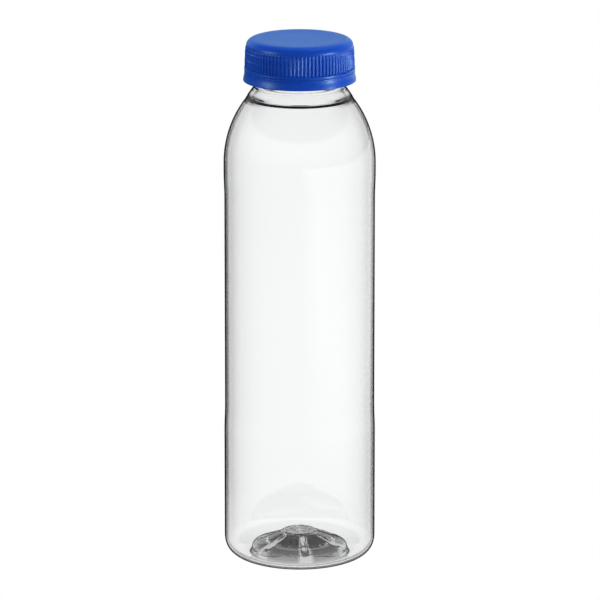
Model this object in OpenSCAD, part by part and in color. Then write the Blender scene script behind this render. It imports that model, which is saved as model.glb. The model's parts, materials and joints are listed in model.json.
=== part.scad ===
// Clear round bottle with a three-start screw cap, a tamper-evident band and a seal liner.
// Millimetres, +Z up. The origin is on the bottle's axis, on the surface that it stands on.

/* [Body] */
// Outside diameter of the body at its two bumper bands
body_d = 55.6; // [54:0.2:58]
// Wall thickness of the blown body
wall = 0.65; // [0.5:0.05:0.8]
// Depth of the label panel below the bumper bands
panel_recess = 0.25; // [0.15:0.05:0.4]
// Height where the lower bumper band ends
panel_low_z = 48; // [40:1:55]
// Height where the upper bumper band starts
panel_high_z = 146; // [140:1:147]
// Length of the blend between a bumper band and the panel
panel_blend = 10; // [6:1:12]
// Height of the rounded heel
heel_h = 8.2; // [7.5:0.1:9]
// Width of the rounded heel, from the standing ring to the side wall
heel_w = 9.4; // [9:0.1:10]

/* [Base] */
// Width of the flat ring that the bottle stands on
stand_w = 0.8; // [0.5:0.1:1.2]
// Radius of the raised knob in the middle of the base
knob_r = 6.1; // [5.5:0.1:6.5]
// Height of the knob's top above the standing surface
knob_z = 9.6; // [9.2:0.1:10]
// Radius of the step around the push-up cone
step_r = 12.3; // [12:0.1:12.8]
// Number of radial ribs under the base
base_ribs = 6; // [4:1:8]
// Thickness of a base rib
base_rib_w = 1.1; // [0.8:0.1:1.5]

/* [Shoulder and neck] */
// Height where the shoulder leaves the straight side
shoulder_z = 149.3; // [149:0.1:150]
// Horizontal radius of the shoulder's arc
shoulder_rx = 37.6; // [37:0.1:38]
// Vertical radius of the shoulder's arc
shoulder_rz = 38.2; // [37.8:0.1:38.6]
// Outside radius of the neck, which is the root of its thread
neck_r = 16.8; // [16.6:0.1:17]
// Inside radius of the neck
bore_r = 15.1; // [14.8:0.1:15.3]
// Height of the lip
lip_z = 193; // [192.8:0.1:193.2]
// Radius of the bead that keeps the tamper band on the neck
bead_r = 18.1; // [18:0.05:18.2]
// Height of the bead's flat underside
bead_z = 182.1; // [182:0.1:182.3]

/* [Thread] */
// Number of thread starts
starts = 3; // [3:1:3]
// Rise of the thread in one turn
lead = 9.525; // [9:0.1:10]
// Angle that one start of the neck's thread covers
neck_thread_angle = 150; // [120:5:155]
// Angle that one start of the cap's thread covers
cap_thread_angle = 120; // [90:5:120]
// Height of the middle of the neck's thread where it begins
thread_z = 186.9; // [186.8:0.1:187]
// Crest radius of the neck's thread
neck_crest_r = 18.3; // [18:0.05:18.3]
// Crest radius of the cap's thread
cap_crest_r = 17.2; // [17.2:0.05:17.4]

/* [Closure] */
// Height of the cap's top face
cap_top_z = 195.5; // [195.4:0.1:195.8]
// Radius over the cap's grip ribs
cap_r = 19.8; // [19.7:0.05:19.9]
// Inside radius of the cap's skirt
cap_inner_r = 18.65; // [18.6:0.05:18.7]
// Height of the skirt's lower edge
skirt_z = 183.9; // [183.85:0.05:184]
// Height of the plain ring around the foot of the skirt
skirt_ring_h = 0.9; // [0.7:0.1:1.2]
// Number of grip ribs around the cap
grip_ribs = 90; // [60:6:120]
// Depth of the grip ribs
grip_depth = 0.35; // [0.2:0.05:0.4]
// Radius of the rounded top edge
cap_edge_r = 3.5; // [3:0.1:3.6]
// Thickness of the liner
liner_h = 0.95; // [0.8:0.05:1]

/* [Tamper band] */
// Height of the band's lower edge
band_z = 180; // [179.9:0.1:180.1]
// Height of the band's upper edge
band_top_z = 183.5; // [183.4:0.05:183.55]
// Radius of the flared lower edge
band_flare_r = 20.6; // [20.4:0.05:20.8]
// Radius of the band's upper part
band_r = 20.15; // [20:0.05:20.3]
// Number of bridge stubs left on the band
bridges = 10; // [6:1:16]

/* [Hidden] */
$fn = 96;
arc_steps = 14;          // straight steps in a quarter arc
blend_steps = 6;         // straight steps in a panel blend
seat_gap = 0.05;         // gap between surfaces that seat on each other
body_r = body_d / 2;
panel_r = body_r - panel_recess;
shoulder_x = body_r - shoulder_rx;               // centre of the shoulder's arc
base_rib_turn = -82;                             // direction of the first rib, just beside the front
thread_step = 6;                                 // degrees between thread sections
thread_w = 1.3;                                  // width of a thread at its root
thread_crest_w = 0.6;                            // width of a thread at its crest
thread_bite = 0.3;                               // depth that a thread sinks into its wall
start_pitch = lead / starts;
cap_thread_z = 186.5;                            // middle of the cap's thread where it begins
neck_thread_turn = 2.5;                          // where the first start of the neck's thread begins
// The cap's thread runs midway between two starts of the neck's thread, so it begins this far round.
cap_thread_turn = neck_thread_turn + (cap_thread_z + start_pitch / 2 - thread_z) * 360 / lead;
ceiling_z = lip_z + seat_gap * 2 + liner_h;      // underside of the cap's top plate

// Points along an elliptical arc from angle a0 to a1
function arc(cx, cz, rx, rz, a0, a1, n = arc_steps) =
    [for (i = [0:n]) let (a = a0 + (a1 - a0) * i / n) [cx + rx * cos(a), cz + rz * sin(a)]];

// Points of a smooth blend from radius r0 at height z0 to radius r1 at height z1
function blend(r0, z0, r1, z1) =
    [for (i = [0:blend_steps]) let (t = i / blend_steps)
        [r0 + (r1 - r0) * (1 - cos(180 * t)) / 2, z0 + (z1 - z0) * t]];

// Angle up an elliptical arc at which it reaches radius r
function arc_angle(r, cx, rx) = acos((r - cx) / rx);

// One turn-fraction of thread: a four-sided ridge swept up a helix from radius root to radius crest.
// Its first and last sections shrink back to the root.
module thread(root, crest, z0, angle) {
    out = sign(crest - root);
    n = round(angle / thread_step);
    points = [for (i = [0:n])
        let (a = angle * i / n, z = z0 + lead * a / 360,
             tip = (i == 0 || i == n) ? root + 0.1 * out : crest,
             half = (i == 0 || i == n) ? thread_crest_w / 2 : thread_w / 2)
        each [for (p = [[root - thread_bite * out, -half], [tip, -thread_crest_w / 2],
                        [tip, thread_crest_w / 2], [root - thread_bite * out, half]])
            [p[0] * cos(a), p[0] * sin(a), z + p[1]]]];
    sides = [for (i = [0:n - 1], k = [0:3]) let (a = 4 * i + k, b = 4 * i + (k + 1) % 4)
        each [[a, b, b + 4], [a, b + 4, a + 4]]];
    ends = [[0, 2, 1], [0, 3, 2], [4 * n, 4 * n + 1, 4 * n + 2], [4 * n, 4 * n + 2, 4 * n + 3]];
    faces = concat(sides, ends);
    polyhedron(points, out > 0 ? faces : [for (f = faces) [f[2], f[1], f[0]]]);
}

module threads(root, crest, z0, angle, turn)
    for (s = [0:starts - 1]) rotate(turn + s * 360 / starts) thread(root, crest, z0, angle);

// Outside of the bottle, from the middle of its underside up to the lip
function bottle_outside() = concat(
    [[0, knob_z - 2], [1.6, knob_z - 2], [1.9, knob_z - 1.4], [knob_r - 1, knob_z - 1.5],
     [knob_r + 0.2, knob_z - 2.5], [step_r - 0.9, 5.1], [step_r - 0.5, 4.8], [step_r + 3.3, 3.6]],
    [[body_r - heel_w - stand_w - 0.7, 1.8], [body_r - heel_w - stand_w, 0]],
    arc(body_r - heel_w, heel_h, heel_w, heel_h, -90, 0),
    blend(body_r, panel_low_z, panel_r, panel_low_z + panel_blend),
    blend(panel_r, panel_high_z - panel_blend, body_r, panel_high_z),
    arc(shoulder_x, shoulder_z, shoulder_rx, shoulder_rz, 0, arc_angle(neck_r, shoulder_x, shoulder_rx)),
    [[neck_r, bead_z], [bead_r, bead_z], [bead_r, bead_z + 0.6], [neck_r, bead_z + 1.6],
     [neck_r, lip_z - 0.6], [neck_r - 0.5, lip_z]]);

// Inside of the bottle, from the lip down to the middle of the base
function bottle_inside() = concat(
    [[bore_r + 0.3, lip_z], [bore_r, lip_z - 0.3]],
    [[bore_r, 177.4], [bore_r + 0.4, 176.2], [bore_r + 1.2, 175.2], [bore_r + 2.8, 173.7]],
    arc(shoulder_x, shoulder_z, shoulder_rx - wall, shoulder_rz - 0.9,
        arc_angle(bore_r + 4, shoulder_x, shoulder_rx - wall), 0),
    blend(body_r - wall, panel_high_z, panel_r - wall, panel_high_z - panel_blend),
    blend(panel_r - wall, panel_low_z + panel_blend, body_r - wall, panel_low_z),
    arc(body_r - heel_w, heel_h, heel_w - wall, heel_h - 0.95, 0, -90),
    [[body_r - heel_w - 0.2, 1.4], [body_r - heel_w - 1.1, 4.6], [step_r + 0.4, 6], [step_r, 6.5],
     [knob_r + 1.2, knob_z - 1.2], [knob_r + 0.5, knob_z - 0.4], [knob_r - 0.1, knob_z], [0, knob_z]]);

// A radial rib on the underside of the push-up, between the knob and the standing ring
module base_rib()
    rotate([90, 0, 0]) translate([0, 0, -base_rib_w / 2]) linear_extrude(base_rib_w)
        polygon([[knob_r + 0.3, knob_z - 2.3], [knob_r + 0.3, knob_z - 3.5], [step_r - 1, 4.3],
                 [step_r + 2.9, 3], [step_r + 2.9, 4], [step_r - 0.9, 5.4]]);

module bottle() color([0.9, 0.94, 0.96, 0.4]) {
    rotate_extrude() polygon(concat(bottle_outside(), bottle_inside()));
    for (i = [0:base_ribs - 1]) rotate(i * 360 / base_ribs + base_rib_turn) base_rib();
    threads(neck_r, neck_crest_r, thread_z, neck_thread_angle, neck_thread_turn);
}

// Outline of the ribbed grip: a flat-topped tooth and a flat valley for each rib
module grip_outline() {
    pitch = 360 / grip_ribs;
    polygon([for (i = [0:grip_ribs - 1], p = [[0.1, 1], [0.4, 1], [0.6, 0], [0.9, 0]])
        let (a = (i + p[0]) * pitch, r = cap_r - (1 - p[1]) * (grip_depth + 0.1)) [r * cos(a), r * sin(a)]]);
}

module cap_shell() color([0.19, 0.33, 0.72]) {
    core_r = cap_r - grip_depth;
    grip_low_z = skirt_z + skirt_ring_h;
    grip_high_z = cap_top_z - cap_edge_r;
    rib_end = 0.3;                   // how far the ribs run on into the ring below them
    difference() {
        union() {
            rotate_extrude() polygon(concat(
                [[0, skirt_z], [band_r, skirt_z], [band_r, grip_low_z], [core_r, grip_low_z]],
                arc(core_r - cap_edge_r, grip_high_z, cap_edge_r, cap_edge_r, 0, 90),
                [[0, cap_top_z]]));
            translate([0, 0, grip_low_z - rib_end])
                linear_extrude(grip_high_z - grip_low_z + rib_end) grip_outline();
        }
        rotate_extrude() polygon([[0, skirt_z - 1], [cap_inner_r, skirt_z - 1], [cap_inner_r, ceiling_z - 0.4],
                                  [cap_inner_r - 0.4, ceiling_z], [0, ceiling_z]]);
    }
    threads(cap_inner_r, cap_crest_r, cap_thread_z, cap_thread_angle, cap_thread_turn);
}

module tamper_band() color([0.16, 0.3, 0.68]) {
    wall_r = cap_inner_r + 0.45;
    rotate_extrude() polygon([
        [band_flare_r - 0.3, band_z], [band_flare_r, band_z + 0.3], [band_flare_r - 0.1, band_z + 0.9],
        [band_r + 0.1, band_z + 2], [band_r, band_z + 2.8], [band_r, band_top_z - 0.1],
        [band_r - 0.1, band_top_z], [wall_r, band_top_z],
        [wall_r, band_z + 2], [bead_r - 0.5, band_z + 1.6], [bead_r - 0.5, band_z + 1.1],
        [wall_r, band_z + 0.5], [wall_r + 0.3, band_z]]);
    for (i = [0:bridges - 1]) rotate((i + 0.5) * 360 / bridges)
        translate([wall_r + 0.05, -0.45, band_top_z - 0.3])
            cube([0.6, 0.9, skirt_z - seat_gap - band_top_z + 0.3]);
}

module seal_liner() color([0.93, 0.93, 0.92])
    translate([0, 0, lip_z + seat_gap]) cylinder(r = cap_inner_r - 0.45, h = liner_h);

bottle();
cap_shell();
tamper_band();
seal_liner();
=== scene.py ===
"""Looks of a clear round bottle with a blue screw closure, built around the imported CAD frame.

Every length is in metres in the row's frame: +Z up, origin on the axis, on the standing surface.
"""

import json
import math

import bpy
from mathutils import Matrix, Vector, noise

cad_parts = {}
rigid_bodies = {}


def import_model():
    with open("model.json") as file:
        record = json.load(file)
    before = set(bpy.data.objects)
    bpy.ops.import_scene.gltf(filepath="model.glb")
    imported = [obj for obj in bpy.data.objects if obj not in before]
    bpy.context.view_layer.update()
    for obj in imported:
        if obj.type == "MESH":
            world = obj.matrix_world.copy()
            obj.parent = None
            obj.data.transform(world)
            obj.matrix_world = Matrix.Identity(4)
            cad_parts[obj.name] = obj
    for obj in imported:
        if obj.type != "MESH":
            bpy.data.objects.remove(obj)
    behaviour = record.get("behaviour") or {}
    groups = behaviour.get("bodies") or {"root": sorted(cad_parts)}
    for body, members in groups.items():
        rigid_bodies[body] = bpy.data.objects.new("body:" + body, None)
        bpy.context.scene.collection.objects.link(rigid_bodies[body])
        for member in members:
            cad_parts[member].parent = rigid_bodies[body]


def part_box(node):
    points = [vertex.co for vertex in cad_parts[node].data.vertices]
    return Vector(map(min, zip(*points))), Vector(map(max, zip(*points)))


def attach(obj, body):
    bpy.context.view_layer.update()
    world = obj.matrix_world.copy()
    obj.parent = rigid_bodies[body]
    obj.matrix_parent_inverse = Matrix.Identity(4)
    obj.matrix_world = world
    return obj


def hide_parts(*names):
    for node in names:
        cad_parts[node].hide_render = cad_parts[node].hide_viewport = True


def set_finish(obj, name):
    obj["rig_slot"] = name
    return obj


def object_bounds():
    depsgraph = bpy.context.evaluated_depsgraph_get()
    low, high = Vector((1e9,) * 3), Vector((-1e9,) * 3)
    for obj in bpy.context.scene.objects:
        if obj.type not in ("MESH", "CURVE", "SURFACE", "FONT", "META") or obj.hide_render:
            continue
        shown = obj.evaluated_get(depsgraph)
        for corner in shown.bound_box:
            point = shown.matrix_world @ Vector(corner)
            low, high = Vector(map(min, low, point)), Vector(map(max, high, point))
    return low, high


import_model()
cad_low, cad_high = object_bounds()

MM = 0.001

# ---------------------------------------------------------------- sizes that the CAD boxes give
bottle_low, bottle_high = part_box("bottle")
cap_low, cap_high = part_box("cap_shell")
band_low, band_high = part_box("tamper_band")
liner_low, liner_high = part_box("seal_liner")

BODY_R = bottle_high.x                 # outside radius of the bumper bands
LIP_Z = bottle_high.z
CAP_TOP_Z = cap_high.z
SKIRT_Z = cap_low.z
BAND_FLARE_R = band_high.x
BAND_Z = band_low.z
LINER_R = liner_high.x

# ---------------------------------------------------------------- sizes shared with the CAD source
WALL = 0.65 * MM
PANEL_RECESS = 0.25 * MM
PANEL_R = BODY_R - PANEL_RECESS
PANEL_LOW_Z, PANEL_HIGH_Z, PANEL_BLEND = 48 * MM, 146 * MM, 10 * MM
HEEL_W, HEEL_H = 9.4 * MM, 8.2 * MM
STAND_W = 0.8 * MM
KNOB_R, KNOB_Z = 6.1 * MM, 9.6 * MM
SHOULDER_Z, SHOULDER_RX, SHOULDER_RZ = 149.3 * MM, 37.6 * MM, 38.2 * MM
SHOULDER_X = BODY_R - SHOULDER_RX
NECK_R, BORE_R = 16.8 * MM, 15.1 * MM
BEAD_R, BEAD_Z = 18.1 * MM, 182.1 * MM
STARTS, LEAD = 3, 9.525 * MM
NECK_CREST_R, CAP_CREST_R = 18.3 * MM, 17.2 * MM
NECK_THREAD_Z, NECK_THREAD_ANGLE, NECK_THREAD_TURN = 186.9 * MM, 150, 2.5
CAP_THREAD_Z, CAP_THREAD_ANGLE = 186.5 * MM, 120
CAP_THREAD_TURN = NECK_THREAD_TURN + (CAP_THREAD_Z + LEAD / STARTS / 2 - NECK_THREAD_Z) * 360 / LEAD
THREAD_W, THREAD_CREST_W = 1.3 * MM, 0.6 * MM
CAP_R, CAP_INNER_R, GRIP_DEPTH, GRIP_RIBS = 19.8 * MM, 18.65 * MM, 0.35 * MM, 90
CAP_EDGE = 3.5 * MM
SKIRT_RING_H = 0.9 * MM
BAND_R, BAND_TOP_Z, BRIDGES = 20.15 * MM, 183.5 * MM, 10
CEILING_Z = liner_high.z + 0.05 * MM
BASE_RIBS, BASE_RIB_TURN = 6, -82
SEAM_AZIMUTH = -85                     # where the mould's parting line runs up the front

# ---------------------------------------------------------------- detail of the looks, finer than the CAD's
HEEL_SWELL = 0.45 * MM                 # how much fuller the heel is than a plain arc
RIB_OUTSIDE, RIB_INSIDE = 0.9 * MM, 0.35 * MM     # how far a base rib stands from each face of the wall
BASE_WAVE = 0.085 * MM                 # unevenness of the thick middle of the base
WALL_WAVE = 0.05 * MM                  # unevenness of the body's wall
SEAM_RIDGE, SEAM_HALF_W = 0.02 * MM, 0.5     # height in metres, and half its width in degrees
COLUMNS = 352                          # columns of the bottle's mesh
SEAM_STEPS = (-0.6, -0.3, 0, 0.3, 0.6)     # degrees from the parting line to its own columns
NECK_TOP_Z = BEAD_Z + 1.6 * MM         # where the bead's slope meets the plain neck
RIB_WAVE = 0.3 * MM                    # height of a grip rib
TIERS = [(188.2 * MM, 0.1 * MM), (191.0 * MM, 0.14 * MM)]     # height of each step in the grip, and its size
DRAFT = 0.06 * MM                      # how much wider the grip is at its foot
GRIP_LOW_Z, GRIP_TOP_Z = SKIRT_Z + SKIRT_RING_H, 193.3 * MM
SKIRT_FOOT_Z = SKIRT_Z - 0.13 * MM     # a little lower than in the CAD, for a finer slit

# ---------------------------------------------------------------- light, by the sine of a ray's elevation
SKY_MIRROR = [(0.0, 0.15), (0.22, 0.58), (0.36, 0.58), (0.5, 0.12)]
SKY_THROUGH = [(0.0, 1.0), (0.42, 0.95), (0.47, 0.15), (0.62, 0.02)]
SKY_DIFFUSE = [(0.0, 0.2), (0.5, 0.25), (1.0, 0.3)]
FLOOR_SHADE = 0.6                      # a painted shadow on the floor under the bottle, seen only through its base
FLOOR_MIRROR_LEFT, FLOOR_MIRROR_RIGHT = 0.02, 1.0     # the floor beside the bottle, in reflections
FLOOR_DIFFUSE = 0.15
FLOOR_SIDE, FLOOR_DROP = 3.0, 0.2 * MM

# ---------------------------------------------------------------- colours
PET_IOR = 1.57
PET_PAINTED_EDGE = (0.012, 0.012, 0.013, 1)    # painted shade: the thin dark line where the wall is seen edge on
PET_SHADOW = (0.93, 0.94, 0.94, 1)
RING_PAINTED_SHADE = (0.05, 0.05, 0.052)        # painted shade on the thick ring under the neck, where it is seen aslant
WEB_PAINTED_SHADE = (0.004, 0.004, 0.0045)      # painted shade on the base between its ribs
# the heights between which the neck ring's painted shade lies
RING_LOW_Z, RING_HIGH_Z = 171.5 * MM, 176.5 * MM
# the radii of the painted shade on the base's webs, and the heights above which it fades out
WEB_IN_R, WEB_OUT_R = 5 * MM, 19 * MM
BASE_CLEAR_Z, BASE_FULL_Z = 11 * MM, 10 * MM

# ---------------------------------------------------------------- camera and lamps
CAMERA_DISTANCE, CAMERA_ELEVATION = 2.0, math.radians(14.2)
PICTURE_WIDTH = 0.2205                 # width of the picture at the bottle's axis
AIM_X, AIM_DROP = 0.13 * MM, 0.42 * MM
LAMPS = [                              # name, place, target, size, power, whether it shows in reflections
    ("top_light", (0.1, 0.3, 1.0), (0, 0, 0.19), (0.6, 0.6), 5.4, False),
    ("right_light", (0.78, -0.36, 0.06), (0, 0, 0.19), (0.2, 0.35), 7.5, True),
    ("left_light", (-0.75, -0.3, 0.33), (0, 0, 0.18), (0.35, 0.25), 2.3, True)]


# ---------------------------------------------------------------- profile helpers
def arc(cx, cz, rx, rz, a0, a1, steps):
    """Points of an elliptical arc in the (radius, height) plane, from angle a0 to a1 in degrees."""
    out = []
    for i in range(steps + 1):
        a = math.radians(a0 + (a1 - a0) * i / steps)
        out.append((cx + rx * math.cos(a), cz + rz * math.sin(a)))
    return out


def blend(r0, z0, r1, z1, steps=8):
    """Points of a smooth S from radius r0 at height z0 to radius r1 at height z1."""
    out = []
    for i in range(steps + 1):
        t = i / steps
        out.append((r0 + (r1 - r0) * (1 - math.cos(math.pi * t)) / 2, z0 + (z1 - z0) * t))
    return out


def fillet(points, steps=5):
    """A path from corners (radius, height, fillet radius), with each corner rounded by an arc."""
    out = []
    for i, (x, z, round_r) in enumerate(points):
        here = Vector((x, z))
        if round_r == 0 or i in (0, len(points) - 1):
            out.append((x, z))
            continue
        before = Vector(points[i - 1][:2]) - here
        after = Vector(points[i + 1][:2]) - here
        half = before.angle(after) / 2
        reach = min(round_r / math.tan(half), before.length * 0.48, after.length * 0.48)
        radius = reach * math.tan(half)
        centre = here + (before.normalized() + after.normalized()).normalized() * (radius / math.sin(half))
        start = here + before.normalized() * reach - centre
        end = here + after.normalized() * reach - centre
        turn = start.angle_signed(end)
        for k in range(steps + 1):
            a = -turn * k / steps
            out.append((centre.x + start.x * math.cos(a) - start.y * math.sin(a),
                        centre.y + start.x * math.sin(a) + start.y * math.cos(a)))
    return out


def refine(points, step):
    """The path with extra points, so that no stretch is longer than step."""
    out = [points[0]]
    for (x0, z0), (x1, z1) in zip(points, points[1:]):
        length = math.hypot(x1 - x0, z1 - z0)
        if length < 1e-7:
            continue
        parts = max(1, math.ceil(length / step))
        for k in range(1, parts + 1):
            out.append((x0 + (x1 - x0) * k / parts, z0 + (z1 - z0) * k / parts))
    return out


def smooth(low, high, x):
    """0 below low, 1 above high, and a smooth rise between them."""
    t = min(1.0, max(0.0, (x - low) / (high - low)))
    return t * t * (3 - 2 * t)


def revolve(name, rows, angles, shape=None):
    """A closed mesh of the path rows turned round the Z axis; both its ends lie on the axis.

    shape(r, z, angle, row) moves a point: it returns its new radius and height.
    """
    verts, faces, first = [], [], []
    last = len(rows) - 1
    count = len(angles)
    for k, (r, z) in enumerate(rows):
        first.append(len(verts))
        if k in (0, last):
            verts.append((0.0, 0.0, z))
            continue
        for a in angles:
            rr, zz = shape(r, z, a, k) if shape else (r, z)
            verts.append((rr * math.cos(a), rr * math.sin(a), zz))
    for k in range(last):
        low, high = first[k], first[k + 1]
        for i in range(count):
            j = (i + 1) % count
            if k == 0:
                faces.append((low, high + j, high + i))
            elif k == last - 1:
                faces.append((low + i, low + j, high))
            else:
                faces.append((low + i, low + j, high + j, high + i))
    return mesh_object(name, verts, faces)


def loop_revolve(name, rows, angles, shape=None):
    """A ring: the closed path rows turned round the Z axis."""
    verts, faces = [], []
    n, count = len(rows), len(angles)
    for k, (r, z) in enumerate(rows):
        for a in angles:
            rr, zz = shape(r, z, a, k) if shape else (r, z)
            verts.append((rr * math.cos(a), rr * math.sin(a), zz))
    for k in range(n):
        m = (k + 1) % n
        for i in range(count):
            j = (i + 1) % count
            faces.append((k * count + i, k * count + j, m * count + j, m * count + i))
    return mesh_object(name, verts, faces)


def mesh_object(name, verts, faces):
    """A smooth-shaded object with that mesh, in the scene."""
    mesh = bpy.data.meshes.new(name)
    mesh.from_pydata(verts, [], faces)
    mesh.validate()
    mesh.shade_smooth()
    obj = bpy.data.objects.new(name, mesh)
    bpy.context.scene.collection.objects.link(obj)
    return obj


def even_angles(count):
    """Angles evenly spread round a full turn."""
    return [2 * math.pi * i / count for i in range(count)]


def thread_height(angle, z, z0, span, turn):
    """0 at the thread's root and 1 on its crest, for a point at that angle and height."""
    best = 0.0
    for s in range(STARTS):
        a = (math.degrees(angle) - turn - s * 360 / STARTS) % 360
        if a > span:
            continue
        offset = abs(z - z0 - LEAD * a / 360)
        height = min(1.0, max(0.0, (THREAD_W / 2 - offset) / ((THREAD_W - THREAD_CREST_W) / 2)))
        ends = smooth(0, 10, a) * smooth(0, 10, span - a)
        best = max(best, height * ends)
    return best


# ---------------------------------------------------------------- the bottle
def fuller(points):
    """The heel's arc, swelled a little outwards between its ends."""
    last = len(points) - 1
    return [(r + HEEL_SWELL * math.sin(math.pi * i / last) ** 2, z) for i, (r, z) in enumerate(points)]


def bottle_outside():
    """From the middle of the underside, over the heel and up to the lip."""
    ring_in = BODY_R - HEEL_W - STAND_W
    under = fillet([
        (0, 7.6 * MM, 0), (1.5 * MM, 7.6 * MM, 0.2 * MM), (1.9 * MM, 8.2 * MM, 0.3 * MM),
        (KNOB_R - 1.0 * MM, 8.1 * MM, 0.5 * MM), (KNOB_R + 0.2 * MM, 7.1 * MM, 0.5 * MM),
        (11.0 * MM, 5.2 * MM, 0.5 * MM), (11.7 * MM, 4.8 * MM, 0.3 * MM), (15.6 * MM, 3.6 * MM, 1.2 * MM),
        (16.9 * MM, 1.8 * MM, 1.0 * MM), (ring_in - 0.2 * MM, 0.3 * MM, 0.3 * MM), (ring_in, 0, 0.15 * MM),
        (BODY_R - HEEL_W, 0, 0)])
    heel = fuller(arc(BODY_R - HEEL_W, HEEL_H, HEEL_W, HEEL_H, -90, 0, 24))
    panel = blend(BODY_R, PANEL_LOW_Z, PANEL_R, PANEL_LOW_Z + PANEL_BLEND) \
        + blend(PANEL_R, PANEL_HIGH_Z - PANEL_BLEND, BODY_R, PANEL_HIGH_Z)
    top_angle = math.degrees(math.acos((NECK_R + 3.2 * MM - SHOULDER_X) / SHOULDER_RX))
    shoulder = arc(SHOULDER_X, SHOULDER_Z, SHOULDER_RX, SHOULDER_RZ, 0, top_angle, 34)
    neck = fillet([
        (*shoulder[-1], 0), (18.9 * MM, 174.55 * MM, 0.5 * MM), (17.4 * MM, 176.7 * MM, 1.0 * MM),
        (NECK_R, 177.6 * MM, 0.6 * MM),
        (NECK_R, BEAD_Z, 0.2 * MM), (BEAD_R, BEAD_Z, 0.2 * MM), (BEAD_R, BEAD_Z + 0.6 * MM, 0.3 * MM),
        (NECK_R, NECK_TOP_Z, 0.5 * MM), (NECK_R, LIP_Z, 0.6 * MM), (BORE_R, LIP_Z, 0.3 * MM),
        (BORE_R, 180 * MM, 0)])
    return under + heel[1:] + panel + shoulder + neck[1:]


def bottle_inside():
    """From inside the neck down to the middle of the base."""
    turn_angle = math.degrees(math.acos((19.6 * MM - SHOULDER_X) / (SHOULDER_RX - WALL)))
    shoulder = arc(SHOULDER_X, SHOULDER_Z, SHOULDER_RX - WALL, SHOULDER_RZ - 0.9 * MM, turn_angle, 0, 32)
    neck = fillet([
        (BORE_R, 180 * MM, 0), (BORE_R, 177.8 * MM, 2.5 * MM), (17.0 * MM, 174.5 * MM, 1.5 * MM),
        (17.8 * MM, 173.7 * MM, 0.4 * MM), (19.0 * MM, 173.1 * MM, 0.4 * MM), (*shoulder[0], 0.3 * MM),
        (*shoulder[2], 0)])
    panel = blend(BODY_R - WALL, PANEL_HIGH_Z, PANEL_R - WALL, PANEL_HIGH_Z - PANEL_BLEND) \
        + blend(PANEL_R - WALL, PANEL_LOW_Z + PANEL_BLEND, BODY_R - WALL, PANEL_LOW_Z)
    heel = fuller(arc(BODY_R - HEEL_W, HEEL_H, HEEL_W - WALL, HEEL_H - 0.95 * MM, 0, -90, 24))
    base = fillet([
        (*heel[-1], 0), (18.2 * MM, 1.4 * MM, 0.8 * MM), (17.3 * MM, 4.6 * MM, 1.6 * MM),
        (12.7 * MM, 6.0 * MM, 0.4 * MM), (12.2 * MM, 6.5 * MM, 0.3 * MM),
        (KNOB_R + 1.2 * MM, 8.4 * MM, 0.5 * MM), (KNOB_R + 0.6 * MM, 9.2 * MM, 0.3 * MM),
        (KNOB_R - 0.1 * MM, KNOB_Z, 0.3 * MM),
        (KNOB_R - 0.8 * MM, KNOB_Z - 0.15 * MM, 0.3 * MM), (0, KNOB_Z - 0.2 * MM, 0)])
    return neck[:-1] + shoulder[3:] + panel + heel + base[1:]


def bottle_angles():
    """Even columns, with a few more on each side of the mould's parting line."""
    angles = even_angles(COLUMNS)
    for seam in (SEAM_AZIMUTH, SEAM_AZIMUTH + 180):
        for step in SEAM_STEPS:
            angles.append(math.radians(seam + step) % (2 * math.pi))
    return sorted(angles)


def seam_height(angle):
    """The parting line's ridge: 1 on the line and 0 beside it."""
    turns = [math.degrees(angle) - seam + 180 for seam in (SEAM_AZIMUTH, SEAM_AZIMUTH + 180)]
    away = min(abs(turn % 360 - 180) for turn in turns)
    return max(0.0, 1 - away / SEAM_HALF_W)


def rib_height(angle):
    """The radial ribs of the base: 1 along a rib's middle and 0 between ribs."""
    pitch = 360 / BASE_RIBS
    away = abs((math.degrees(angle) - BASE_RIB_TURN + pitch / 2) % pitch - pitch / 2)
    return 1 - smooth(2.0, 6.5, away)


def finer_base(rows):
    """The same path with close rows under the push-up, where the wall's waves need them."""
    out = [rows[0]]
    for before, here in zip(rows, rows[1:]):
        low = max(before[0], here[0]) < 18.5 * MM and max(before[1], here[1]) < 11 * MM
        out += refine([before, here], 0.6 * MM)[1:] if low else [here]
    return out


def base_wave(r, angle, seed):
    """The waviness of thick, barely stretched plastic: streaks that run round the base."""
    spot = Vector((math.cos(angle) * 3.2, math.sin(angle) * 3.2, r / (1.6 * MM) + seed))
    return noise.noise(spot) + 0.5 * noise.noise(spot * 2.3)


def outside_detail(r, z, angle):
    """A point of the outside with the base's waves and ribs, the thread and the parting line."""
    if z < 10 * MM and r < 17.5 * MM:
        reach = smooth(0.5 * MM, 3 * MM, r) * (1 - smooth(15 * MM, 17.5 * MM, r))
        z += BASE_WAVE * base_wave(r, angle, 0) * reach
    if NECK_TOP_Z < z < LIP_Z - 0.8 * MM and abs(r - NECK_R) < 0.05 * MM:
        r += (NECK_CREST_R - NECK_R) * thread_height(
            angle, z, NECK_THREAD_Z, NECK_THREAD_ANGLE, NECK_THREAD_TURN)
    elif 2 * MM < z < BEAD_Z - 1 * MM and r > 16 * MM:
        r += SEAM_RIDGE * seam_height(angle)
    if z < 9 * MM and KNOB_R < r < 17 * MM:
        reach = smooth(KNOB_R, KNOB_R + 1.5 * MM, r) * (1 - smooth(13.5 * MM, 16 * MM, r))
        z -= RIB_OUTSIDE * reach * rib_height(angle)
    return r, z


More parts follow.
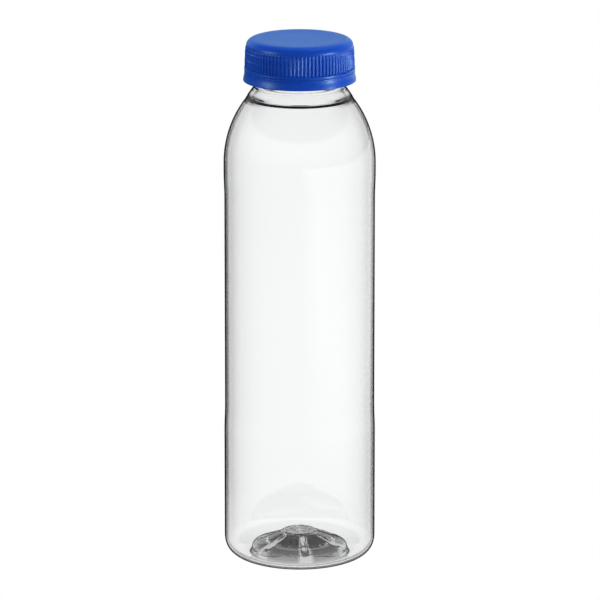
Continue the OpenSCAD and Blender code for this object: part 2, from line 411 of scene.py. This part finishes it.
def inside_detail(r, z, angle):
    """A point of the inside with the wall's unevenness and the base's ribs and waves."""
    if 12 * MM < z < 172 * MM:
        spot = Vector((math.cos(angle), math.sin(angle), z / (60 * MM)))
        r += WALL_WAVE * noise.noise(spot * 1.3)
    if z < 11 * MM and KNOB_R < r < 17.5 * MM:
        reach = smooth(KNOB_R + 0.6 * MM, KNOB_R + 1.8 * MM, r) * (1 - smooth(13.5 * MM, 16.5 * MM, r))
        z += RIB_INSIDE * reach * rib_height(angle)
    if z < 11 * MM and r < 19 * MM:
        reach = smooth(0.5 * MM, 3 * MM, r) * (1 - smooth(16 * MM, 19 * MM, r))
        z += BASE_WAVE * base_wave(r, angle, 5) * reach
    return r, z


def make_bottle():
    """The bottle as one closed shell: up the outside, and down the inside to the middle of the base."""
    outside = finer_base(refine(bottle_outside(), 6 * MM))
    inside = finer_base(refine(bottle_inside(), 6 * MM))
    rows = []
    for (x0, z0), (x1, z1) in zip(outside, outside[1:]):
        rows.append((x0, z0))
        on_neck = abs(x0 - NECK_R) < 0.05 * MM and abs(x1 - NECK_R) < 0.05 * MM
        if on_neck and z0 > NECK_TOP_Z - 0.3 * MM:     # the thread needs close rows
            parts = max(1, math.ceil((z1 - z0) / (0.22 * MM)))
            rows += [(x0, z0 + (z1 - z0) * k / parts) for k in range(1, parts)]
    rows.append(outside[-1])
    turn = len(rows)
    rows += inside[1:]

    def shape(r, z, angle, row):
        return outside_detail(r, z, angle) if row < turn else inside_detail(r, z, angle)

    return revolve("bottle_pet", rows, bottle_angles(), shape)


# ---------------------------------------------------------------- the closure
def grip_relief(z, angle):
    """How far the grip's ribs, its two steps and its draft stand out from the cap's plain side."""
    depth = (1 - smooth(GRIP_TOP_Z - 1.3 * MM, GRIP_TOP_Z, z)) \
        * smooth(GRIP_LOW_Z - 0.05 * MM, GRIP_LOW_Z + 0.3 * MM, z)
    wave = (0.5 + 0.5 * math.cos(angle * GRIP_RIBS)) ** 0.8
    step = sum(size * (1 - smooth(tier_z - 0.1 * MM, tier_z + 0.1 * MM, z)) for tier_z, size in TIERS)
    draft = DRAFT * (GRIP_TOP_Z - z) / (GRIP_TOP_Z - GRIP_LOW_Z)
    return draft + depth * (RIB_WAVE * wave + step * (0.35 + 0.65 * wave))


def make_cap():
    """The closure: over its top, down the ribbed side, and up the threaded inside to the ceiling."""
    core = CAP_R - GRIP_DEPTH
    edge_h, edge_steps = 3.6 * MM, 18
    top = [(0, CAP_TOP_Z - 0.12 * MM), (6 * MM, CAP_TOP_Z - 0.1 * MM), (13.9 * MM, CAP_TOP_Z - 0.06 * MM),
           (14.3 * MM, CAP_TOP_Z - 0.01 * MM), (14.9 * MM, CAP_TOP_Z)]
    edge = arc(core - CAP_EDGE, CAP_TOP_Z - edge_h, CAP_EDGE, edge_h - 0.06 * MM, 84, 0, edge_steps)
    # swelled outwards, so that the edge is squarer than a plain arc
    swell = [math.sin(math.pi * i / edge_steps) for i in range(edge_steps + 1)]
    edge = [(r + 0.35 * MM * more, z + 0.12 * MM * more) for (r, z), more in zip(edge, swell)]
    side = refine([edge[-1], (core, GRIP_LOW_Z + 0.4 * MM)], 0.2 * MM)
    skirt = fillet([
        (core, GRIP_LOW_Z + 0.4 * MM, 0), (core + 0.05 * MM, GRIP_LOW_Z + 0.05 * MM, 0.05 * MM),
        (BAND_R + 0.05 * MM, GRIP_LOW_Z, 0.12 * MM), (BAND_R + 0.05 * MM, SKIRT_FOOT_Z, 0.1 * MM),
        (CAP_INNER_R + 0.2 * MM, SKIRT_FOOT_Z, 0.1 * MM),
        (CAP_INNER_R, SKIRT_Z + 0.4 * MM, 0.2 * MM), (CAP_INNER_R, SKIRT_Z + 1.4 * MM, 0)], 3)
    inner_wall = refine([(CAP_INNER_R, SKIRT_Z + 1.4 * MM), (CAP_INNER_R, 190.9 * MM)], 0.3 * MM)
    inner = fillet([
        (CAP_INNER_R, 190.9 * MM, 0), (CAP_INNER_R, CEILING_Z - 0.4 * MM, 0.2 * MM),
        (CAP_INNER_R - 0.4 * MM, CEILING_Z, 0.2 * MM), (15 * MM, CEILING_Z, 0), (0, CEILING_Z, 0)], 3)
    rows = top + edge + side[1:] + skirt[1:]
    turn = len(rows)
    rows += inner_wall[1:] + inner[1:]

    def shape(r, z, angle, row):
        if row < turn:
            if GRIP_LOW_Z - 0.02 * MM < z < GRIP_TOP_Z and 16.5 * MM < r < core + 0.06 * MM:
                r += grip_relief(z, angle)
        elif r > CAP_INNER_R - 0.01 * MM:
            r -= (CAP_INNER_R - CAP_CREST_R) * thread_height(
                angle, z, CAP_THREAD_Z, CAP_THREAD_ANGLE, CAP_THREAD_TURN)
        return r, z

    return revolve("cap_closure", rows, even_angles(GRIP_RIBS * 8), shape)


def make_band():
    """The band: a flared wall, a bead that holds it under the neck's bead, and a lip behind the slit."""
    wall_r = CAP_INNER_R + 0.45 * MM
    bead = BEAD_R - 0.5 * MM
    top = BAND_TOP_Z + 0.16 * MM       # a little higher than in the CAD, for a finer slit
    lip_out, lip_in = CAP_INNER_R - 0.12 * MM, BEAD_R + 0.12 * MM
    rows = fillet([
        (wall_r + 0.3 * MM, BAND_Z, 0), (BAND_FLARE_R - 0.03 * MM, BAND_Z, 0.1 * MM),
        (BAND_FLARE_R, BAND_Z + 0.35 * MM, 0.3 * MM), (BAND_FLARE_R - 0.1 * MM, BAND_Z + 0.9 * MM, 1.0 * MM),
        (BAND_R + 0.1 * MM, BAND_Z + 2 * MM, 1.5 * MM), (BAND_R, BAND_Z + 2.8 * MM, 1.0 * MM),
        (BAND_R, top, 0.1 * MM), (lip_out, top, 0.05 * MM), (lip_out, top + 0.8 * MM, 0.08 * MM),
        (lip_in, top + 0.8 * MM, 0.08 * MM), (lip_in, top - 0.3 * MM, 0.1 * MM),
        (wall_r, top - 0.9 * MM, 0.1 * MM), (wall_r, BAND_Z + 2 * MM, 0.2 * MM),
        (bead, BAND_Z + 1.6 * MM, 0.2 * MM), (bead, BAND_Z + 1.1 * MM, 0.2 * MM),
        (wall_r, BAND_Z + 0.5 * MM, 0.2 * MM)], 4)
    return loop_revolve("tamper_ring", refine(rows, 0.5 * MM), even_angles(240))


def make_bridges():
    """The stubs of the broken bridges, one mesh of small tapered posts on the band's top edge."""
    verts, faces = [], []
    low, high = BAND_TOP_Z - 0.2 * MM, SKIRT_FOOT_Z - 0.03 * MM
    r0, r1 = CAP_INNER_R + 0.5 * MM, CAP_INNER_R + 1.1 * MM
    for i in range(BRIDGES):
        a = math.radians((i + 0.5) * 360 / BRIDGES)
        base = len(verts)
        for z, half, inset in ((low, 0.45 * MM, 0.0), ((low + high) / 2, 0.36 * MM, 0.03 * MM),
                               (high, 0.22 * MM, 0.1 * MM)):
            for r, side in ((r0 + inset, -1), (r1 - inset, -1), (r1 - inset, 1), (r0 + inset, 1)):
                x, y = r, side * half
                verts.append((x * math.cos(a) - y * math.sin(a), x * math.sin(a) + y * math.cos(a), z))
        faces += [(base + 3, base + 2, base + 1, base), (base + 8, base + 9, base + 10, base + 11)]
        for level in (0, 4):
            for k in range(4):
                n = (k + 1) % 4
                faces.append((base + level + k, base + level + n, base + level + 4 + n, base + level + 4 + k))
    obj = mesh_object("bridge_stubs", verts, faces)
    bevel = obj.modifiers.new("soft edges", "BEVEL")
    bevel.width = 0.05 * MM
    bevel.segments = 2
    return obj


def make_liner():
    """The foam disc, with the lip's dent in its underside."""
    low, high = liner_low.z, liner_high.z
    dent = BORE_R + 0.8 * MM           # where the lip presses into the foam
    rows = refine(fillet([
        (0, low + 0.02 * MM, 0), (dent - 1 * MM, low + 0.02 * MM, 0.3 * MM),
        (dent - 0.6 * MM, low + 0.1 * MM, 0.2 * MM), (dent + 0.6 * MM, low + 0.1 * MM, 0.2 * MM),
        (dent + 1 * MM, low, 0.3 * MM), (LINER_R, low, 0.15 * MM),
        (LINER_R, high, 0.15 * MM), (0, high, 0)]), 2 * MM)
    return revolve("foam_liner", rows, even_angles(96))


# ---------------------------------------------------------------- materials
def new_material(name):
    """A node material, with its tree, its main shader and its output."""
    mat = bpy.data.materials.new(name)
    mat.use_nodes = True
    tree = mat.node_tree
    return mat, tree, tree.nodes["Principled BSDF"], tree.nodes["Material Output"]


def add(tree, kind, **values):
    """A new node with its properties set, and its inputs where the name is an input's."""
    node = tree.nodes.new(kind)
    for key, value in values.items():
        label = key.replace("_", " ")
        if hasattr(node, key):
            setattr(node, key, value)
        else:
            node.inputs[label].default_value = value
    return node


def noise_fac(tree, scale, detail=2.0, rough=0.5):
    """A noise level in the object's own frame."""
    coords = add(tree, "ShaderNodeTexCoord")
    node = add(tree, "ShaderNodeTexNoise", Scale=scale, Detail=detail, Roughness=rough)
    tree.links.new(coords.outputs["Object"], node.inputs["Vector"])
    return node.outputs["Fac"]


def shader_mix(tree, share, first, second):
    """The first shader, passing into the second by share."""
    mix = add(tree, "ShaderNodeMixShader")
    tree.links.new(share, mix.inputs["Fac"])
    tree.links.new(first, mix.inputs[1])
    tree.links.new(second, mix.inputs[2])
    return mix.outputs["Shader"]


def path_mix(tree, cases, default):
    """A shader that differs by the kind of ray: cases is a list of (Light Path output, shader socket)."""
    path = add(tree, "ShaderNodeLightPath")
    shown = default
    for output, shader in cases:
        shown = shader_mix(tree, path.outputs[output], shown, shader)
    return shown


def ramp(tree, source, stops):
    """A colour that goes by the source; a stop is (source's value, colour or grey level)."""
    node = add(tree, "ShaderNodeValToRGB")
    elements = node.color_ramp.elements
    while len(elements) < len(stops):
        elements.new(0.5)
    for element, (place, colour) in zip(elements, stops):
        element.position = place
        element.color = (*colour, 1) if isinstance(colour, tuple) else (colour, colour, colour, 1)
    tree.links.new(source, node.inputs["Fac"])
    return node.outputs["Color"]


def span(tree, source, start, end):
    """0 where the source is at start, 1 where it is at end, and held beyond both."""
    node = add(tree, "ShaderNodeMapRange", From_Min=start, From_Max=end)
    tree.links.new(source, node.inputs["Value"])
    return node.outputs["Result"]


def calc(tree, operation, *values):
    """The result of a Math node; each value is a number or the socket that gives it."""
    node = add(tree, "ShaderNodeMath", operation=operation)
    for socket, value in zip(node.inputs, values):
        if isinstance(value, (int, float)):
            socket.default_value = value
        else:
            tree.links.new(value, socket)
    return node.outputs["Value"]


def colour_mix(tree, share, first, second):
    """The first colour, a socket, passing into the second, a plain colour, by share."""
    node = add(tree, "ShaderNodeMix", data_type="RGBA")
    tree.links.new(share, node.inputs[0])
    tree.links.new(first, node.inputs[6])
    node.inputs[7].default_value = (*second, 1)
    return node.outputs[2]


def distance(tree, vector):
    """The length of a vector."""
    node = add(tree, "ShaderNodeVectorMath", operation="LENGTH")
    tree.links.new(vector, node.inputs[0])
    return node.outputs["Value"]


def object_place(tree):
    """The point in the object's own frame: the whole vector, and its separate outputs X, Y and Z."""
    coords = add(tree, "ShaderNodeTexCoord").outputs["Object"]
    split = add(tree, "ShaderNodeSeparateXYZ")
    tree.links.new(coords, split.inputs["Vector"])
    return coords, split.outputs


def bump_from(tree, shader, height, strength, depth):
    """A fine relief on the shader's normal."""
    bump = add(tree, "ShaderNodeBump", Strength=strength, Distance=depth)
    tree.links.new(height, bump.inputs["Height"])
    tree.links.new(bump.outputs["Normal"], shader.inputs["Normal"])


def painted_ring_shade(tree, place, facing):
    """The share of painted shade at a point of the thick ring under the neck, where it is seen aslant."""
    along = span(tree, place["Z"], RING_LOW_Z, RING_HIGH_Z)
    in_ring = ramp(tree, along, [(0.1, 0.0), (0.32, 1.0), (0.72, 1.0), (0.9, 0.0)])
    aslant = ramp(tree, facing, [(0.18, 0.0), (0.5, 1.0)])
    return calc(tree, "MULTIPLY", in_ring, aslant)


def painted_web_shade(tree, place):
    """The share of painted shade at a point of the base between its ribs: knob, clear rim, cone, clear rim,
    flat.
    """
    around = calc(tree, "ARCTAN2", place["Y"], place["X"])
    phase = math.pi - BASE_RIBS * math.radians(BASE_RIB_TURN)
    swing = calc(tree, "COSINE", calc(tree, "MULTIPLY_ADD", around, BASE_RIBS, phase))
    between = span(tree, swing, -0.85, -0.45)
    level = add(tree, "ShaderNodeCombineXYZ")
    tree.links.new(place["X"], level.inputs["X"])
    tree.links.new(place["Y"], level.inputs["Y"])
    outwards = span(tree, distance(tree, level.outputs["Vector"]), WEB_IN_R, WEB_OUT_R)
    in_cone = ramp(tree, outwards, [
        (0.03, 0.4), (0.06, 0.0), (0.09, 0.0), (0.14, 1.0), (0.48, 1.0), (0.5, 0.0), (0.56, 0.0),
        (0.58, 0.92), (0.86, 0.8), (0.92, 0.0)])
    low = span(tree, place["Z"], BASE_CLEAR_Z, BASE_FULL_Z)
    return calc(tree, "MULTIPLY", low, calc(tree, "MULTIPLY", between, in_cone))


def pet_material():
    """Clear PET: it refracts. Painted shade greys it where it is seen aslant, darker still on the neck ring
    and on the base's webs, and a painted dark line shows where the wall is seen edge on.
    """
    mat, tree, shader, out = new_material("clear_pet")
    shader.inputs["Transmission Weight"].default_value = 1.0
    shader.inputs["IOR"].default_value = PET_IOR
    shader.inputs["Roughness"].default_value = 0.0
    facing = add(tree, "ShaderNodeLayerWeight", Blend=0.5).outputs["Facing"]
    place = object_place(tree)[1]
    above_heel = span(tree, place["Z"], 1.5 * MM, 7 * MM)
    # painted shade: the glass greys where it is seen aslant, fading out towards the heel's foot
    tint = ramp(tree, calc(tree, "MULTIPLY", facing, above_heel), [
        (0.03, (0.985, 0.99, 0.99)), (0.22, (0.965, 0.968, 0.968)), (0.34, (0.92, 0.922, 0.925)),
        (0.42, (0.885, 0.887, 0.89)), (0.51, (0.8, 0.8, 0.805)), (0.58, (0.7, 0.7, 0.705)),
        (0.65, (0.7, 0.7, 0.705)), (0.72, 0.78), (0.8, 0.88)])
    # painted shade on the neck ring
    tint = colour_mix(tree, painted_ring_shade(tree, place, facing), tint, RING_PAINTED_SHADE)
    # painted shade on the base between its ribs, near black
    tint = colour_mix(tree, painted_web_shade(tree, place), tint, WEB_PAINTED_SHADE)
    tree.links.new(tint, shader.inputs["Base Color"])
    bump_from(tree, shader, noise_fac(tree, 35), 0.15, 0.1 * MM)
    # painted shade: a near-black shader mixed in where the wall is seen edge on, drawing a dark line
    edge = add(tree, "ShaderNodeBsdfPrincipled")
    edge.inputs["Base Color"].default_value = PET_PAINTED_EDGE
    edge.inputs["Roughness"].default_value = 0.5
    edge.inputs["Specular IOR Level"].default_value = 0.0
    painted_edge_share = ramp(tree, facing, [(0.72, 0.0), (0.785, 0.6), (0.84, 1.0)])
    body = shader_mix(tree, painted_edge_share, shader.outputs["BSDF"], edge.outputs["BSDF"])
    shadow = add(tree, "ShaderNodeBsdfTransparent", Color=PET_SHADOW).outputs["BSDF"]
    shown = path_mix(tree, [("Is Shadow Ray", shadow)], body)
    tree.links.new(shown, out.inputs["Surface"])
    return mat


def closure_material():
    """Blue moulded polyolefin: satin, with fine flow marks and a little light under its skin."""
    mat, tree, shader, _ = new_material("blue_closure")
    tint = ramp(tree, noise_fac(tree, 120, 3.0), [
        (0.3, (0.0025, 0.062, 0.55)), (0.7, (0.0035, 0.07, 0.6))])
    tree.links.new(tint, shader.inputs["Base Color"])
    shader.inputs["Specular Tint"].default_value = (0.5, 0.85, 1.0, 1)
    shader.inputs["Specular IOR Level"].default_value = 0.4
    shader.inputs["Sheen Weight"].default_value = 0.6
    shader.inputs["Sheen Roughness"].default_value = 0.4
    shader.inputs["Sheen Tint"].default_value = (0.16, 0.62, 1.0, 1)
    shader.inputs["Subsurface Weight"].default_value = 0.15
    shader.inputs["Subsurface Radius"].default_value = (0.2, 0.5, 1.0)
    shader.inputs["Subsurface Scale"].default_value = 0.8 * MM
    grain = noise_fac(tree, 900)
    tree.links.new(ramp(tree, grain, [(0.3, 0.3), (0.7, 0.4)]), shader.inputs["Roughness"])
    bump_from(tree, shader, grain, 0.25, 0.03 * MM)
    return mat


def foam_material():
    """White closed-cell foam: matt, with fine cells."""
    mat, tree, shader, _ = new_material("white_foam")
    cells = noise_fac(tree, 2500, 3.0, 0.7)
    tint = ramp(tree, cells, [(0.3, (0.74, 0.74, 0.72)), (0.7, (0.88, 0.88, 0.86))])
    tree.links.new(tint, shader.inputs["Base Color"])
    shader.inputs["Roughness"].default_value = 0.75
    bump_from(tree, shader, cells, 0.4, 0.05 * MM)
    return mat


# ---------------------------------------------------------------- studio
def glow(tree, colour):
    """An even glow in a colour, given plainly or by a socket."""
    node = add(tree, "ShaderNodeEmission", Strength=1.0)
    if isinstance(colour, tuple):
        node.inputs["Color"].default_value = colour
    else:
        tree.links.new(colour, node.inputs["Color"])
    return node.outputs["Emission"]


def floor_material():
    """A glow that is plain white to the camera, and dimmer through the plastic and in reflections."""
    mat = bpy.data.materials.new("studio_floor")
    mat.use_nodes = True
    tree = mat.node_tree
    tree.nodes.clear()
    out = add(tree, "ShaderNodeOutputMaterial")
    coords, place = object_place(tree)
    far = distance(tree, coords)
    # a painted shadow under the bottle, which only shows through the base
    shade = ramp(tree, far, [
        (0.0, FLOOR_SHADE), (0.015, FLOOR_SHADE), (0.0185, 0.6), (0.0208, 0.94),
        (0.05, 1.01), (0.35, 1.01), (0.6, 0.99)])
    by_side = ramp(tree, place["X"], [
        (0.0, FLOOR_MIRROR_LEFT), (0.02, FLOOR_MIRROR_LEFT), (0.25, FLOOR_MIRROR_RIGHT)])
    near = ramp(tree, far, [(0.03, 1.0), (0.13, 0.0)])
    mirrored = colour_mix(tree, near, by_side, (1, 1, 1))
    lit = add(tree, "ShaderNodeEmission", Color=(1, 1, 1, 1), Strength=FLOOR_DIFFUSE)
    shown = path_mix(tree, [
        ("Is Glossy Ray", glow(tree, mirrored)), ("Is Transmission Ray", glow(tree, shade)),
        ("Is Camera Ray", glow(tree, (1, 1, 1, 1)))], lit.outputs["Emission"])
    clear = add(tree, "ShaderNodeBsdfTransparent").outputs["BSDF"]
    behind = add(tree, "ShaderNodeNewGeometry").outputs["Backfacing"]
    tree.links.new(shader_mix(tree, behind, shown, clear), out.inputs["Surface"])
    return mat


def make_floor():
    """A plain white floor, seen from above only."""
    side = FLOOR_SIDE
    corners = [(-side, -side, 0), (side, -side, 0), (side, side, 0), (-side, side, 0)]
    mesh = bpy.data.meshes.new("floor")
    mesh.from_pydata(corners, [], [(0, 1, 2, 3)])
    mesh.materials.append(floor_material())
    floor = bpy.data.objects.new("floor", mesh)
    bpy.context.scene.collection.objects.link(floor)
    floor.location.z = -FLOOR_DROP


def sky(tree, height, stops):
    """A background whose brightness goes by the height of the ray's direction."""
    back = add(tree, "ShaderNodeBackground", Strength=1.0)
    tree.links.new(ramp(tree, height, stops), back.inputs["Color"])
    return back.outputs["Background"]


def make_world():
    """White to the camera; through the plastic and in reflections, a room that is dark high up."""
    world = bpy.data.worlds.new("studio")
    bpy.context.scene.world = world
    world.use_nodes = True
    tree = world.node_tree
    tree.nodes.clear()
    out = add(tree, "ShaderNodeOutputWorld")
    coords = add(tree, "ShaderNodeTexCoord")
    split = add(tree, "ShaderNodeSeparateXYZ")
    tree.links.new(coords.outputs["Generated"], split.inputs["Vector"])
    height = split.outputs["Z"]
    white = add(tree, "ShaderNodeBackground", Strength=1.0)
    white.inputs["Color"].default_value = (1, 1, 1, 1)
    shown = path_mix(tree, [
        ("Is Glossy Ray", sky(tree, height, SKY_MIRROR)),
        ("Is Transmission Ray", sky(tree, height, SKY_THROUGH)),
        ("Is Camera Ray", white.outputs["Background"])], sky(tree, height, SKY_DIFFUSE))
    tree.links.new(shown, out.inputs["Surface"])


def softbox(pieces, name, place, target, size, power, mirrored):
    """A rectangular lamp that lights only the given pieces."""
    light = bpy.data.lights.new(name, "AREA")
    light.shape = "RECTANGLE"
    light.size, light.size_y = size
    light.energy = power
    obj = bpy.data.objects.new(name, light)
    bpy.context.scene.collection.objects.link(obj)
    obj.location = place
    obj.rotation_euler = (Vector(target) - Vector(place)).to_track_quat("-Z", "Y").to_euler()
    obj.visible_camera = False
    obj.visible_glossy = mirrored
    obj.light_linking.receiver_collection = pieces


def make_camera():
    """A long lens, tilted down on the whole bottle."""
    centre = (cad_low + cad_high) / 2
    aim = Vector((AIM_X, 0, centre.z - AIM_DROP))
    cam = bpy.data.cameras.new("camera")
    cam.sensor_width = 36
    cam.lens = cam.sensor_width * CAMERA_DISTANCE / PICTURE_WIDTH
    cam.clip_start, cam.clip_end = 0.05, 20
    obj = bpy.data.objects.new("camera", cam)
    bpy.context.scene.collection.objects.link(obj)
    back = Vector((0, -math.cos(CAMERA_ELEVATION), math.sin(CAMERA_ELEVATION)))
    obj.location = aim + back * CAMERA_DISTANCE
    obj.rotation_euler = (-back).to_track_quat("-Z", "Y").to_euler()
    bpy.context.scene.camera = obj


def finish_piece(obj, body, node, slot, material):
    """Give a piece its material, the body it rides on, the CAD node it replaces and its slot."""
    obj.data.materials.append(material)
    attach(obj, body)
    if node:
        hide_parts(node)
    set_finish(obj, slot)


make_camera()
make_world()
make_floor()
pet, blue, foam = pet_material(), closure_material(), foam_material()
finish_piece(make_bottle(), "bottle", "bottle", "clear_pet", pet)
finish_piece(make_cap(), "cap", "cap_shell", "blue_closure", blue)
finish_piece(make_band(), "band", "tamper_band", "blue_closure", blue)
finish_piece(make_bridges(), "band", None, "blue_closure", blue)
finish_piece(make_liner(), "liner", "seal_liner", "white_foam", foam)

lit_pieces = bpy.data.collections.new("lit_pieces")
for obj in bpy.data.objects:
    if obj.get("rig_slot") in ("blue_closure", "white_foam"):
        lit_pieces.objects.link(obj)
for lamp in LAMPS:
    softbox(lit_pieces, *lamp)

bpy.context.scene.view_settings.view_transform = "Standard"
